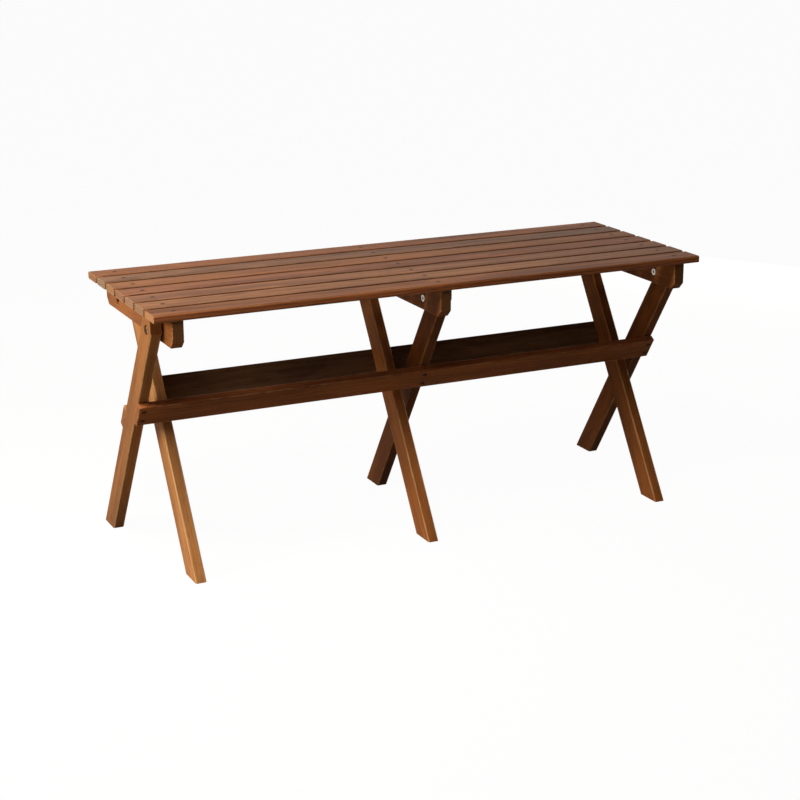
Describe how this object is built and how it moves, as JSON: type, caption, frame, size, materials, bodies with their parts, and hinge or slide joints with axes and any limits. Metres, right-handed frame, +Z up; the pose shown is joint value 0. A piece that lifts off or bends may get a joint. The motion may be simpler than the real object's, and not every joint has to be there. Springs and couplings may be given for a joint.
{
  "type": "folding bench",
  "caption": "Long folding bench in oiled hardwood: lengthwise seat slats on cross battens, carried by two hinged frames of crossing legs with long rails.",
  "frame": {"origin": "on the floor, under the middle of the seat (bottom centre of the box)", "axes": "+X along the bench, +Z up, -Y towards the side whose hinge bolts carry the frame with the visible front rail"},
  "size_m": [1, 0.3524, 0.4485],
  "materials": {
    "slats": "satin, oiled",
    "battens": "satin, oiled",
    "legs": "satin, oiled",
    "rails": "satin, oiled",
    "bright_metal": "zinc plated",
    "screw_metal": "dulled"
  },
  "bodies": {
    "seat": {"slat_1": "slats", "slat_2": "slats", "slat_3": "slats", "slat_4": "slats", "slat_5": "slats", "slat_6": "slats", "slat_7": "slats", "batten_left": "battens", "batten_middle": "battens", "batten_right": "battens", "front_hinge_bolts": "bright_metal", "front_sleeve_nuts": "bright_metal", "front_spacers": "bright_metal", "rear_hinge_bolts": "bright_metal", "rear_sleeve_nuts": "bright_metal", "rear_spacers": "bright_metal"},
    "front_frame": {"front_leg_left": "legs", "front_leg_middle": "legs", "front_leg_right": "legs", "front_rail": "rails", "stop_block_left": "rails", "stop_block_right": "rails"},
    "rear_frame": {"rear_leg_left": "legs", "rear_leg_middle": "legs", "rear_leg_right": "legs", "rear_rail": "rails"}
  },
  "joints": [
    {"name": "rear_frame_fold", "type": "hinge", "parent": "seat", "child": "rear_frame", "pos_m": [0, 0.11, 0.4115], "axis": [1, 0, 0], "range_deg": [0, 122]},
    {"name": "front_frame_fold", "type": "hinge", "parent": "seat", "child": "front_frame", "pos_m": [0, -0.11, 0.4115], "axis": [1, 0, 0], "range_deg": [0, 55]}
  ],
  "couplings": [
    {"joint": "front_frame_fold", "follows": "rear_frame_fold", "ratio": 0.4508}
  ]
}
